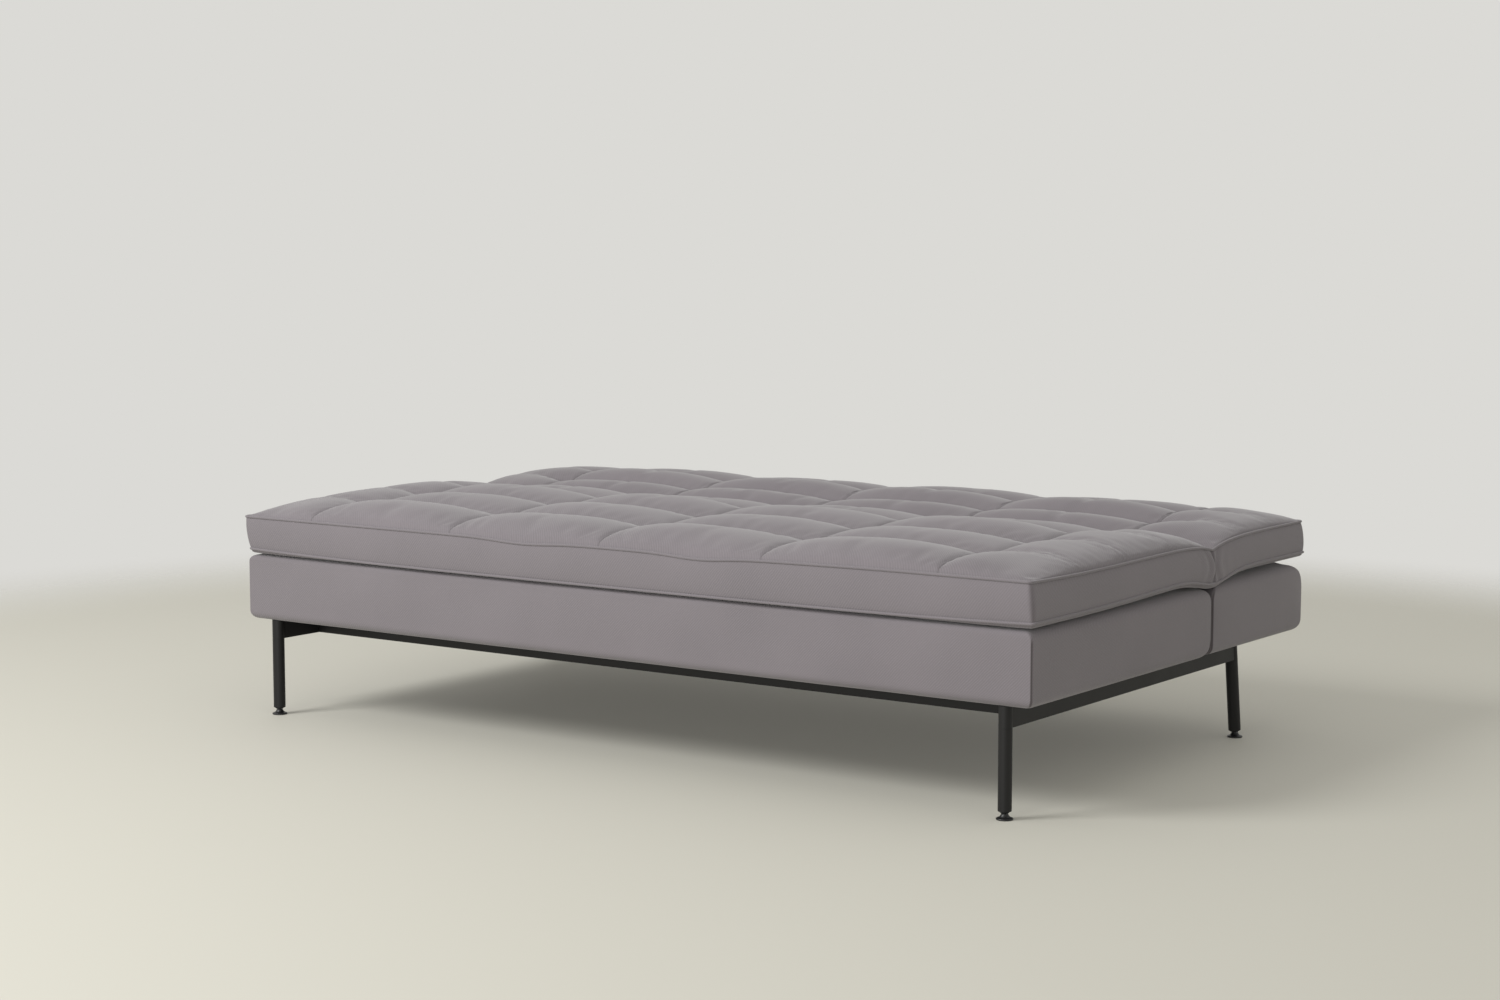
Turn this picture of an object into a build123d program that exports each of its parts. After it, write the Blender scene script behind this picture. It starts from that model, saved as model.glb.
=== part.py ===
from build123d import *
import math
import os

# A two-seat sofa bed, lying flat as a bed: upholstered seat and back decks on a black steel
# underframe, under one tufted topper mattress that runs over both decks.
# Millimetres. The origin is on the floor, under the middle of the bed.
# +X runs along the length, -Y is the front (the seat's front edge) and +Z is up.

# ---- driving dimensions ----
LENGTH = 1900
DEPTH = 1126
SEAT_DEPTH = 703
JOINT_GAP = 5
RAIL_HEIGHT = 40
RAIL_WIDTH = 20
RAIL_WALL = 2
RAIL_TOP = 203
RAIL_X = 886
SEAT_TOP = 345
BACK_BOTTOM = 205
BACK_TOP = 349
TOPPER_TOP = 455
TOPPER_LIFT = 0.3
SKIN = 2
CLOTH = 1.2
FRONT = -DEPTH / 2

# ---- legs and glides ----
TUBE = 12.5
TUBE_BORE = 11
FRONT_LEG_Y = FRONT + 21.5
REAR_LEG_Y = FRONT + 926.4
SPLAY = 8
LEG_END = 15
LEG_CAP = 30
STUD = 5
STUD_CLEAR = 0.05
STEM = 4
INSERT_LENGTH = 25
BALL = 4.2
BALL_Z = 6.5
PAD = 15.5

# ---- hinge ----
PIVOT_Y = FRONT + 706
PIVOT_Z = 325
PLATE_X = 883.5
PLATE = 5
ARM_X = 889
PIN = 6
BOSS = 18
RIM = 30
NOTCH = 6
NOTCH_WIDTH = 7.4
PAWL_ANGLE = 250
PAWL_REACH = 40
SLOT_X = (879, 898)
FOLD_ANGLE = 76
HALF_FOLD = 38

# ---- timber ----
BEAM = 25
BEAM_X = 894.1
BEAM_TOP = 262
SLAT = 8
SLAT_WIDTH = 60
SLAT_COUNT = 9
CAVITY_X = 921
CAVITY_TOP = 271

BIG = 4000


def back(distance):
    """The y of a place that lies this far behind the front face."""
    return FRONT + distance


def block(x, y, z):
    """A box between two values on each axis."""
    size = [high - low for low, high in (x, y, z)]
    centre = [(high + low) / 2 for low, high in (x, y, z)]
    return Pos(*centre) * Box(*size)


def side_plate(outline, x, thickness):
    """A flat plate whose outline is drawn in y and z, lying between x and x + thickness."""
    return extrude(Plane.YZ.offset(x) * outline, amount=thickness)


def disc(y, z, radius, x, thickness):
    """A round solid with its axis along X."""
    return side_plate(Pos(y, z) * Circle(radius), x, thickness)


def upright(x, y, radius, low, high):
    """A round solid with its axis along Z."""
    return Pos(x, y, (low + high) / 2) * Cylinder(radius, high - low)


def both_ends(solid):
    """A solid of the right end and its mirror image at the left end."""
    return Compound([solid, mirror(solid, about=Plane.YZ)])


def group(solids):
    """Separate identical solids in one node."""
    return Compound([piece for solid in solids for piece in solid.solids()])


def rounded(low, high, radii):
    """A rectangle with a radius of its own at each corner, from low-low going round."""
    (a, b), (c, d) = low, high
    outline = Pos((a + c) / 2, (b + d) / 2) * Rectangle(c - a, d - b)
    corners = ((a, b), (c, b), (c, d), (a, d))
    for corner, radius in zip(corners, radii):
        nearest = outline.vertices().sort_by_distance((*corner, 0))[0]
        outline = fillet(nearest, radius)
    return outline


def soft_block(y, z, side_radii, end_radii, inset=0):
    """An upholstered block the whole length long: rounded in side view and in front view."""
    half = LENGTH / 2 - inset
    low, high = (y[0] + inset, z[0] + inset), (y[1] - inset, z[1] - inset)
    side = rounded(low, high, [max(r - inset, 1) for r in side_radii])
    front = rounded((-half, low[1]), (half, high[1]), [max(r - inset, 1) for r in end_radii])
    length = extrude(Plane.YZ * side, amount=BIG, both=True)
    return length & extrude(Plane.XZ * front, amount=BIG, both=True)


# ---- underframe ----
def leg_place(side, rear):
    """The leg's own frame: its origin in the rail's top plane, its -Z down the leg."""
    if rear:
        return Pos(side * RAIL_X, REAR_LEG_Y, RAIL_TOP) * Rot(SPLAY, 0, 0)
    return Pos(side * RAIL_X, FRONT_LEG_Y, RAIL_TOP)


def slant(rear):
    """How much longer a splayed leg is than an upright one."""
    return 1 / math.cos(math.radians(SPLAY)) if rear else 1


def end_rail():
    tube = (RAIL_X - RAIL_WIDTH / 2, RAIL_X + RAIL_WIDTH / 2)
    run = (FRONT_LEG_Y, REAR_LEG_Y)
    rail = block(tube, run, (RAIL_TOP - RAIL_HEIGHT, RAIL_TOP))
    bore = (tube[0] + RAIL_WALL, tube[1] - RAIL_WALL)
    rail -= block(bore, run, (RAIL_TOP - RAIL_HEIGHT + RAIL_WALL, RAIL_TOP - RAIL_WALL))
    for rear in (False, True):
        rail -= leg_place(1, rear) * Cylinder(TUBE, 200)
    return rail


BOLT_X = (-700, -300, 300, 700)
BOLT = 4
BOLT_CLEAR = 4.2
BOLT_LENGTH = 36
BOLT_HEAD = 7
BOLT_ACCESS = 7.5
SEAT_BOLT_Y = (back(144), back(612))


def bolt_holes(y):
    return [upright(x, y, BOLT_CLEAR, 100, 290) for x in BOLT_X]


def cross_rail(distance, drilled):
    half = RAIL_X - RAIL_WIDTH / 2
    y = (back(distance), back(distance) + RAIL_WIDTH)
    rail = block((-half, half), y, (RAIL_TOP - RAIL_HEIGHT, RAIL_TOP))
    bore = (y[0] + RAIL_WALL, y[1] - RAIL_WALL)
    rail -= block((-half, half), bore, (RAIL_TOP - RAIL_HEIGHT + RAIL_WALL, RAIL_TOP - RAIL_WALL))
    if drilled:
        middle = sum(y) / 2
        rail -= bolt_holes(middle)
        rail -= [upright(x, middle, BOLT_ACCESS, 100, RAIL_TOP - RAIL_HEIGHT / 2) for x in BOLT_X]
    return rail


def seat_bolt(x, y):
    seat = RAIL_TOP - RAIL_WALL
    return upright(x, y, BOLT, seat, seat + BOLT_LENGTH) + upright(x, y, BOLT_HEAD, seat - 5, seat)


def leg_socket(rear):
    """The short tube end welded to the rail, bored for the leg's stud."""
    drop = RAIL_HEIGHT * slant(rear)
    body = Pos(0, 0, (12 - drop) / 2) * Cylinder(TUBE, drop + 12)
    body -= Pos(0, 0, -drop + LEG_CAP / 2) * Cylinder(STUD + STUD_CLEAR, LEG_CAP)
    return body


def placed_socket(side, rear):
    body = leg_place(side, rear) * leg_socket(rear)
    return body - Pos(0, 0, RAIL_TOP + BIG / 2) * Box(BIG, BIG, BIG)


def leg(rear):
    """A round tube with a solid bored cap on top and a small chamfer at each end."""
    top = -RAIL_HEIGHT * slant(rear)
    end = -(RAIL_TOP - LEG_END) * slant(rear)
    tube = Pos(0, 0, (top + end) / 2) * Cylinder(TUBE, top - end)
    tube = chamfer(tube.edges().sort_by(Axis.Z)[0], 0.8)
    tube = chamfer(tube.edges().sort_by(Axis.Z)[-1], 0.5)
    hollow = top - LEG_CAP - end
    tube -= Pos(0, 0, end + hollow / 2) * Cylinder(TUBE_BORE, hollow)
    tube -= Pos(0, 0, top - LEG_CAP / 2) * Cylinder(STUD + STUD_CLEAR, LEG_CAP)
    return tube


def leg_stud(rear):
    top = -RAIL_HEIGHT * slant(rear)
    return Pos(0, 0, top) * Cylinder(STUD, 2 * LEG_CAP - 2)


def leg_insert(rear):
    """The plug pressed into the leg's foot, bored for the glide's stem."""
    end = -(RAIL_TOP - LEG_END) * slant(rear)
    plug = Cylinder(TUBE_BORE - STUD_CLEAR, INSERT_LENGTH) - Cylinder(STEM + STUD_CLEAR, BIG)
    return Pos(0, 0, end + INSERT_LENGTH / 2 + 0.5) * plug


def ball_place(side, rear):
    """Where the glide's ball lies: on the leg's axis, a fixed height over the floor."""
    drop = (RAIL_TOP - BALL_Z) * slant(rear)
    return leg_place(side, rear) * Pos(0, 0, -drop)


def glide_stem():
    """A threaded stem with a collar, a neck and a ball, from its ball's centre."""
    collar = LEG_END - BALL_Z - 0.3
    shape = Sphere(BALL)
    shape += Pos(0, 0, collar / 2) * Cylinder(2.5, collar)
    shape += Pos(0, 0, collar - 1.1) * Cylinder(8, 2.2)
    shape += Pos(0, 0, collar + 25) * Cylinder(STEM, 50)
    return shape


def glide_pad():
    """A swivel pad: a flat foot, a hollowed flank and a neck round the ball."""
    with BuildLine() as line:
        Line((0, 0), (PAD - 0.8, 0))
        ThreePointArc((PAD - 0.8, 0), (PAD, 1.6), (PAD - 1.2, 3.4))
        ThreePointArc((PAD - 1.2, 3.4), (8.6, 6.6), (6.5, 10.6))
        Polyline((6.5, 10.6), (0, 10.6), (0, 0))
    body = revolve(Plane.XZ * make_face(line.edges()), axis=Axis.Z)
    body -= Pos(0, 0, BALL_Z) * Sphere(BALL + 0.06)
    body -= Pos(0, 0, 12) * Cylinder(3.7, 10)
    return body


# ---- back hinge ----
def round_hole(y, z, radius):
    return disc(y, z, radius, PLATE_X - 50, 100)


PAWL_ANGLE_RAD = math.radians(PAWL_ANGLE)
PAWL_TIP = (RIM + 0.3) * math.cos(PAWL_ANGLE_RAD), (RIM + 0.3) * math.sin(PAWL_ANGLE_RAD)
PAWL_Y = PIVOT_Y + PAWL_TIP[0] + PAWL_REACH * math.sin(PAWL_ANGLE_RAD)
PAWL_Z = PIVOT_Z + PAWL_TIP[1] - PAWL_REACH * math.cos(PAWL_ANGLE_RAD)
PAWL_PIN = 4


def hinge_plate():
    """The plate welded upright on the end rail, which carries the pin and the pawl."""
    low, high = (back(645), RAIL_TOP), (PIVOT_Y + 16, PIVOT_Z)
    sheet = side_plate(rounded(low, high, (1, 1, 1, 14)), PLATE_X, PLATE)
    sheet += disc(PIVOT_Y, PIVOT_Z, BOSS, PLATE_X, PLATE)
    sheet -= round_hole(PIVOT_Y, PIVOT_Z, PIN + 0.03)
    return sheet - round_hole(PAWL_Y, PAWL_Z, PAWL_PIN + 0.03)


def hinge_pin():
    pin = disc(PIVOT_Y, PIVOT_Z, PIN, PLATE_X - 0.2, 11)
    pin += disc(PIVOT_Y, PIVOT_Z, 9, PLATE_X - 3.5, 3.3)
    return pin + disc(PIVOT_Y, PIVOT_Z, 9, ARM_X + PLATE + 0.3, 2)


def pawl_pin():
    pin = disc(PAWL_Y, PAWL_Z, PAWL_PIN, PLATE_X, 11)
    return pin + disc(PAWL_Y, PAWL_Z, 6, ARM_X + PLATE + 0.3, 1.5)


def toothed_rim():
    """The arm's sector, with a notch for each locked position of the back."""
    reach = RIM + 10
    fan = [(0, 0)]
    for angle in (158, 185, 215, 240, 270):
        turn = math.radians(angle)
        fan.append((reach * math.cos(turn), reach * math.sin(turn)))
    rim = Circle(RIM) & make_face(Polyline(*fan, close=True))
    for angle in (PAWL_ANGLE, PAWL_ANGLE - HALF_FOLD, PAWL_ANGLE - FOLD_ANGLE):
        rim -= Rot(0, 0, angle) * Pos(RIM, 0) * Rectangle(2 * NOTCH, NOTCH_WIDTH)
    return Pos(PIVOT_Y, PIVOT_Z) * rim


ARM_LOW = 215
ARM_BOLT_Y = (back(752), back(788), back(824))
ARM_BOLT_Z = ARM_LOW + 20


def hinge_arm():
    """The back's arm: a boss and toothed rim on the pin, a leg down and a foot to bolt on."""
    outline = Pos(PIVOT_Y, PIVOT_Z) * Circle(BOSS) + toothed_rim()
    outline += rounded((back(709), ARM_LOW), (back(729), PIVOT_Z), (1, 1, 1, 1))
    outline += rounded((back(709), ARM_LOW), (back(840), ARM_LOW + 40), (6, 6, 6, 1))
    arm = side_plate(outline, ARM_X, PLATE)
    arm -= round_hole(PIVOT_Y, PIVOT_Z, PIN + 0.06)
    for y in ARM_BOLT_Y:
        arm -= round_hole(y, ARM_BOLT_Z, BOLT_CLEAR)
    return arm


def arm_bolt(y):
    return disc(y, ARM_BOLT_Z, BOLT, ARM_X, 26) + disc(y, ARM_BOLT_Z, 6.5, ARM_X - 4.5, 4.5)


def pawl():
    """A flat lever on its own pin, whose nose drops into the rim's notches."""
    lever = Pos(PAWL_REACH / 2 + 0.5, -11) * Rectangle(PAWL_REACH + 5, 8)
    lever += Pos(PAWL_REACH, -4.5) * Rectangle(4.8, 9)
    lever += Circle(8) + Pos(0, -7.5) * Rectangle(10, 15)
    turned = Rot(0, 0, PAWL_ANGLE - 270) * lever
    body = side_plate(Pos(PAWL_Y, PAWL_Z) * turned, ARM_X + 0.2, PLATE - 0.4)
    return body - round_hole(PAWL_Y, PAWL_Z, PAWL_PIN + 0.06)


def pawl_spring():
    """A leaf that bears on the pawl's underside, riveted to the hinge plate."""
    leaf = Pos(PAWL_REACH / 2, -16) * Rectangle(PAWL_REACH, 0.8)
    leaf += Pos(2, -18.6) * Rectangle(8, 4.4)
    turned = Rot(0, 0, PAWL_ANGLE - 270) * leaf
    return side_plate(Pos(PAWL_Y, PAWL_Z) * turned, PLATE_X + PLATE, PLATE)


# ---- decks ----
SEAT_Y = (FRONT, back(SEAT_DEPTH))
SEAT_Z = (RAIL_TOP, SEAT_TOP)
BACK_Y = (back(SEAT_DEPTH + JOINT_GAP), FRONT + DEPTH)
BACK_Z = (BACK_BOTTOM, BACK_TOP)
SEAT_SIDE_RADII = (16, 18, 38, 38)
BACK_SIDE_RADII = (8, 27, 55, 38)
END_RADII = (18, 18, 42, 42)
SEAT_CAVITY = (back(20), back(627))
BACK_CAVITY = (back(733.5), back(1100))
WINDOW_X = 870
SEAT_WINDOW = (back(30), back(635))
BACK_WINDOW = (back(745), back(1085))


def slots(y):
    """The slot at each end that the hinge works in."""
    top = PIVOT_Z + BOSS + 1
    return both_ends(block(SLOT_X, y, (RAIL_TOP - 5, top)))


SEAT_SLOTS = slots((back(640), back(706)))
BACK_SLOTS = slots((back(704), back(733.5)))


def seat_block(inset=0):
    return soft_block(SEAT_Y, SEAT_Z, SEAT_SIDE_RADII, END_RADII, inset)


def back_block(inset=0):
    return soft_block(BACK_Y, BACK_Z, BACK_SIDE_RADII, END_RADII, inset)


def cover(deck, window, slot):
    """The sewn skin over a deck, open below where the dust cloth closes it."""
    skin = deck() - deck(SKIN)
    skin -= block((-WINDOW_X, WINDOW_X), window, (0, BACK_BOTTOM + 20))
    return skin - slot


def foam(deck, cavity, slot):
    """The foam over and round the timber frame, inside the cover."""
    body = deck(SKIN + 0.1)
    body -= block((-CAVITY_X, CAVITY_X), cavity, (0, CAVITY_TOP))
    return body - slot


def dust_cloth(window, low, holes=()):
    fit = 0.2
    x = (-WINDOW_X + fit, WINDOW_X - fit)
    cloth = block(x, (window[0] + fit, window[1] - fit), (low, low + CLOTH))
    return cloth - list(holes) if holes else cloth


def beam(x, y, low, top=BEAM_TOP):
    return block(x, y, (low, top))


def slats(y):
    """Slats laid from the front beam to the rear beam."""
    pitch = 2 * (BEAM_X - SLAT_WIDTH) / (SLAT_COUNT - 1)
    starts = [-BEAM_X + SLAT_WIDTH / 2 + i * pitch for i in range(SLAT_COUNT)]
    layer = (BEAM_TOP, BEAM_TOP + SLAT)
    return group([block((x, x + SLAT_WIDTH), y, layer) for x in starts])


# ---- topper ----
TOPPER_RADII = (12, 12, 26, 26)


def topper(low, front, rear):
    """A topper half before the fold's wedge is taken out of it."""
    return soft_block((front, rear), (low, TOPPER_TOP), TOPPER_RADII, TOPPER_RADII)


def fold_wedge(clear):
    """The wedge over the hinge line, inside which the topper creases as the back folds."""
    spread = math.tan(math.radians(FOLD_ANGLE / 2 + 0.5))
    reach = 200
    outline = [(-clear, 0), (clear, 0), (clear + reach * spread, reach), (-clear - reach * spread, reach)]
    wedge = make_face(Polyline(*outline, close=True))
    return extrude(Plane.YZ * (Pos(PIVOT_Y, PIVOT_Z) * wedge), amount=BIG, both=True)


def topper_halves():
    open_wedge = fold_wedge(1)
    seat = topper(SEAT_TOP + TOPPER_LIFT, FRONT, back(SEAT_DEPTH)) - open_wedge
    rear = topper(BACK_TOP + TOPPER_LIFT, back(SEAT_DEPTH), FRONT + DEPTH) - open_wedge
    return seat, rear


def topper_fold():
    """The foam in the fold: it fills the wedge when the bed is flat and is squeezed flat after."""
    layer = (BACK_TOP + 0.6, TOPPER_TOP)
    wide = soft_block((back(560), back(850)), layer, (3, 3, 3, 3), TOPPER_RADII)
    return wide & fold_wedge(0.5)


def rest_buffer(distance):
    """A thin rubber pad on the end rail, under the lying back."""
    return upright(RAIL_X, back(distance), 8, RAIL_TOP, BACK_BOTTOM - 0.3)


# ---- write every node ----
NODES = {}


def place_underframe():
    NODES["end_rail_right"] = end_rail()
    NODES["end_rail_left"] = mirror(end_rail(), about=Plane.YZ)
    NODES["front_cross_rail"] = cross_rail(134, True)
    NODES["middle_cross_rail"] = cross_rail(602, True)
    NODES["rear_cross_rail"] = cross_rail(850, False)
    corners = [(side, rear) for rear in (False, True) for side in (-1, 1)]
    for side, rear in corners:
        name = ("rear_" if rear else "front_") + ("left" if side < 0 else "right")
        place = leg_place(side, rear)
        ball = ball_place(side, rear)
        NODES["leg_socket_" + name] = placed_socket(side, rear)
        NODES["leg_" + name] = place * leg(rear)
        NODES["glide_stem_" + name] = ball * glide_stem()
        NODES["glide_pad_" + name] = Pos(ball.position.X, ball.position.Y, 0) * glide_pad()
    NODES["leg_studs"] = group([leg_place(s, r) * leg_stud(r) for s, r in corners])
    NODES["leg_inserts"] = group([leg_place(s, r) * leg_insert(r) for s, r in corners])
    NODES["seat_bolts"] = group([seat_bolt(x, y) for x in BOLT_X for y in SEAT_BOLT_Y])
    NODES["rest_buffers"] = group([both_ends(rest_buffer(d)) for d in (780, 890)])


def place_hinges():
    right = {
        "hinge_plate": hinge_plate(),
        "hinge_pin": hinge_pin(),
        "hinge_arm": hinge_arm(),
        "pawl": pawl(),
    }
    for name, solid in right.items():
        NODES[name + "_right"] = solid
        NODES[name + "_left"] = mirror(solid, about=Plane.YZ)
    NODES["pawl_pins"] = group([both_ends(pawl_pin())])
    NODES["pawl_springs"] = group([both_ends(pawl_spring())])
    NODES["arm_bolts"] = group([both_ends(arm_bolt(y)) for y in ARM_BOLT_Y])


def place_seat():
    low = RAIL_TOP + SKIN + 0.2
    inner = (-BEAM_X, BEAM_X)
    holes = [hole for y in SEAT_BOLT_Y for hole in bolt_holes(y)]
    front, rear = (back(22), back(22) + BEAM), (back(600), back(600) + BEAM)
    middle = SEAT_BOLT_Y[0]
    NODES["seat_front_beam"] = beam(inner, front, low)
    NODES["seat_rear_beam"] = beam(inner, rear, low) - bolt_holes(SEAT_BOLT_Y[1])
    batten = beam(inner, (middle - BEAM / 2, middle + BEAM / 2), low, low + 35)
    NODES["seat_batten"] = batten - bolt_holes(middle)
    side = beam((BEAM_X, BEAM_X + BEAM), (front[0], rear[1]), low)
    NODES["seat_side_beam_right"] = side
    NODES["seat_side_beam_left"] = mirror(side, about=Plane.YZ)
    NODES["seat_slats"] = slats((front[0], rear[1]))
    NODES["seat_foam"] = foam(seat_block, SEAT_CAVITY, SEAT_SLOTS)
    NODES["seat_cover"] = cover(seat_block, SEAT_WINDOW, SEAT_SLOTS)
    NODES["seat_dust_cloth"] = dust_cloth(SEAT_WINDOW, RAIL_TOP, holes)


def place_back():
    low = BACK_BOTTOM + SKIN + 0.2
    front, rear = (back(734), back(734) + BEAM), (back(1098) - BEAM, back(1098))
    NODES["back_front_beam"] = beam((-SLOT_X[0], SLOT_X[0]), front, low)
    NODES["back_rear_beam"] = beam((-BEAM_X, BEAM_X), rear, low)
    side = beam((BEAM_X, BEAM_X + BEAM), (front[0], rear[1]), low)
    for y in ARM_BOLT_Y:
        side -= disc(y, ARM_BOLT_Z, BOLT_CLEAR, ARM_X, 40)
    NODES["back_side_beam_right"] = side
    NODES["back_side_beam_left"] = mirror(side, about=Plane.YZ)
    NODES["back_slats"] = slats((front[0], rear[1]))
    NODES["back_foam"] = foam(back_block, BACK_CAVITY, BACK_SLOTS)
    NODES["back_cover"] = cover(back_block, BACK_WINDOW, BACK_SLOTS)
    NODES["back_dust_cloth"] = dust_cloth(BACK_WINDOW, BACK_BOTTOM)


def place_topper():
    NODES["topper_seat"], NODES["topper_back"] = topper_halves()
    NODES["topper_fold"] = topper_fold()


place_underframe()
place_hinges()
place_seat()
place_back()
place_topper()

os.makedirs("parts", exist_ok=True)
for node, shape in NODES.items():
    export_step(shape, f"parts/{node}.step")
print(len(NODES), "nodes")
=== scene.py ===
import math

import bpy
import numpy as np
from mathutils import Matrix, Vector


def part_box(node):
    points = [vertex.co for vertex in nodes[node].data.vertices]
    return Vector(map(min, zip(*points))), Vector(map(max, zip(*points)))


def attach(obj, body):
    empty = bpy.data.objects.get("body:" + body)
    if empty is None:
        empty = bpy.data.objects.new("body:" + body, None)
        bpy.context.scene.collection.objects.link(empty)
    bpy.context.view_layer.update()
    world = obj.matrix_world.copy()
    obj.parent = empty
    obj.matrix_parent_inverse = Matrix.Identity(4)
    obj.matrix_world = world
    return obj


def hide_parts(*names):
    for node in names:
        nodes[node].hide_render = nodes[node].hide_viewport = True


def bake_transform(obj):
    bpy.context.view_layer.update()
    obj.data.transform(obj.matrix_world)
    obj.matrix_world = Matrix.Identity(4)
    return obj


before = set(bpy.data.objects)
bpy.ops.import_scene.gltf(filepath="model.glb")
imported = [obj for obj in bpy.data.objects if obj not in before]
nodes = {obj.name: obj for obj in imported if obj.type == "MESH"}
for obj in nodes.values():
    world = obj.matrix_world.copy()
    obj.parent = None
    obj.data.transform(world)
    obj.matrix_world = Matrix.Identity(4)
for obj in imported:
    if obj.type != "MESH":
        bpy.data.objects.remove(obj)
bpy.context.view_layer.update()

# A two-seat sofa bed, lying flat as a bed. Metres, in the model's own frame: the origin is on
# the floor under the middle, +X runs along the length, -Y is the front and +Z is up.


# ---- camera ----
# A three-quarter view from the front right, from about chest height, with a short telephoto lens.
CAMERA_PLACE = (3.2058, -4.5867, 1.0409)
CAMERA_DOWN = 5.881
CAMERA_TURN = 35.167
FOCAL_LENGTH = 64.76
SENSOR_WIDTH = 36
LENS_SHIFT = -0.0047
lens = bpy.data.cameras.new("camera")
lens.lens = FOCAL_LENGTH
lens.sensor_width = SENSOR_WIDTH
lens.shift_x = LENS_SHIFT
camera = bpy.data.objects.new("camera", lens)
camera.location = CAMERA_PLACE
camera.rotation_euler = (math.radians(90 - CAMERA_DOWN), 0, math.radians(CAMERA_TURN))
bpy.context.scene.collection.objects.link(camera)
bpy.context.scene.camera = camera
bpy.context.scene.view_settings.view_transform = "Standard"


# ---- underframe and legs ----
# Rails of 40 x 20 mm steel tube with short tube ends welded on at the corners, and round legs
# that screw into them. Powder coated near-black after welding: a satin skin with a fine orange
# peel, since the powder melts into low humps about a millimetre and a half apart.
def linear(colour):
    """An sRGB hex colour as linear red, green and blue, with an alpha of 1."""
    channels = [int(colour[i : i + 2], 16) / 255 for i in (1, 3, 5)]
    return (*[c / 12.92 if c <= 0.04045 else ((c + 0.055) / 1.055) ** 2.4 for c in channels], 1)


def add(tree, kind, inputs=(), **settings):
    """Adds a node with its settings. Each of its inputs gets a value or a link from an output."""
    made = tree.nodes.new(kind)
    for name, value in settings.items():
        setattr(made, name, value)
    for key, value in dict(inputs).items():
        if isinstance(value, bpy.types.NodeSocket):
            tree.links.new(value, made.inputs[key])
        else:
            made.inputs[key].default_value = value
    return made


def start_material(name, inputs):
    """A material with one Principled shader, whose sockets are set from a dict of values."""
    material = bpy.data.materials.new(name)
    material.use_nodes = True
    tree = material.node_tree
    shader = tree.nodes["Principled BSDF"]
    for key, value in inputs.items():
        shader.inputs[key].default_value = value
    return material, tree, shader


def finish_nodes(material, slot, *names):
    """Gives CAD nodes their material. The slot is not used."""
    for name in names:
        node = nodes[name]
        node.data.materials.clear()
        node.data.materials.append(material)


ORANGE_PEEL = 0.0015
powder_coat, tree, shader = start_material("black_powder_coat", {"Specular IOR Level": 0.35})
place = add(tree, "ShaderNodeTexCoord").outputs["Object"]
peel = add(tree, "ShaderNodeTexNoise", {"Vector": place, "Scale": 1 / ORANGE_PEEL, "Detail": 1.0})
cloudy = add(tree, "ShaderNodeTexNoise", {"Vector": place, "Scale": 18.0, "Detail": 2.0})
tint = add(tree, "ShaderNodeMix", {
    "Factor": cloudy.outputs["Fac"], "A": linear("#111112"), "B": linear("#1a1919")},
    data_type="RGBA")
gloss = add(tree, "ShaderNodeMapRange", {
    "Value": cloudy.outputs["Fac"], "To Min": 0.42, "To Max": 0.55})
relief = add(tree, "ShaderNodeBump", {
    "Height": peel.outputs["Fac"], "Strength": 0.25, "Distance": 0.0002})
tree.links.new(tint.outputs["Result"], shader.inputs["Base Color"])
tree.links.new(gloss.outputs["Result"], shader.inputs["Roughness"])
tree.links.new(relief.outputs["Normal"], shader.inputs["Normal"])

CORNERS = ("front_left", "front_right", "rear_left", "rear_right")
SIDES = ("left", "right")
finish_nodes(powder_coat, "frame_paint",
             *["end_rail_" + side for side in SIDES],
             "front_cross_rail", "middle_cross_rail", "rear_cross_rail",
             *["leg_socket_" + corner for corner in CORNERS],
             *["leg_" + corner for corner in CORNERS])


# ---- glides ----
# Swivel feet: a black nylon pad, injection moulded, that turns on a steel ball. The stem and
# its collar are blackened steel. Nylon leaves the mould with a fine spark-eroded grain.
MOULD_GRAIN = 0.0008
nylon, tree, shader = start_material("black_moulded_nylon", {
    "Base Color": linear("#161617"), "Roughness": 0.4, "IOR": 1.53})
place = add(tree, "ShaderNodeTexCoord").outputs["Object"]
grain = add(tree, "ShaderNodeTexNoise", {"Vector": place, "Scale": 1 / MOULD_GRAIN, "Detail": 3.0})
gloss = add(tree, "ShaderNodeMapRange", {
    "Value": grain.outputs["Fac"], "To Min": 0.3, "To Max": 0.5})
relief = add(tree, "ShaderNodeBump", {
    "Height": grain.outputs["Fac"], "Strength": 0.2, "Distance": 0.0001})
tree.links.new(gloss.outputs["Result"], shader.inputs["Roughness"])
tree.links.new(relief.outputs["Normal"], shader.inputs["Normal"])
finish_nodes(nylon, "glide_plastic", *["glide_pad_" + corner for corner in CORNERS],
             "leg_inserts")

black_oxide, tree, shader = start_material("blackened_steel", {
    "Metallic": 0.7, "Roughness": 0.35})
place = add(tree, "ShaderNodeTexCoord").outputs["Object"]
blotch = add(tree, "ShaderNodeTexNoise", {"Vector": place, "Scale": 120.0, "Detail": 4.0})
tint = add(tree, "ShaderNodeMix", {
    "Factor": blotch.outputs["Fac"], "A": linear("#19191a"), "B": linear("#2e2d2f")},
    data_type="RGBA")
gloss = add(tree, "ShaderNodeMapRange", {
    "Value": blotch.outputs["Fac"], "To Min": 0.28, "To Max": 0.46})
tree.links.new(tint.outputs["Result"], shader.inputs["Base Color"])
tree.links.new(gloss.outputs["Result"], shader.inputs["Roughness"])
finish_nodes(black_oxide, "zinc_steel", "seat_bolts",
             *["glide_stem_" + corner for corner in CORNERS])


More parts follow.
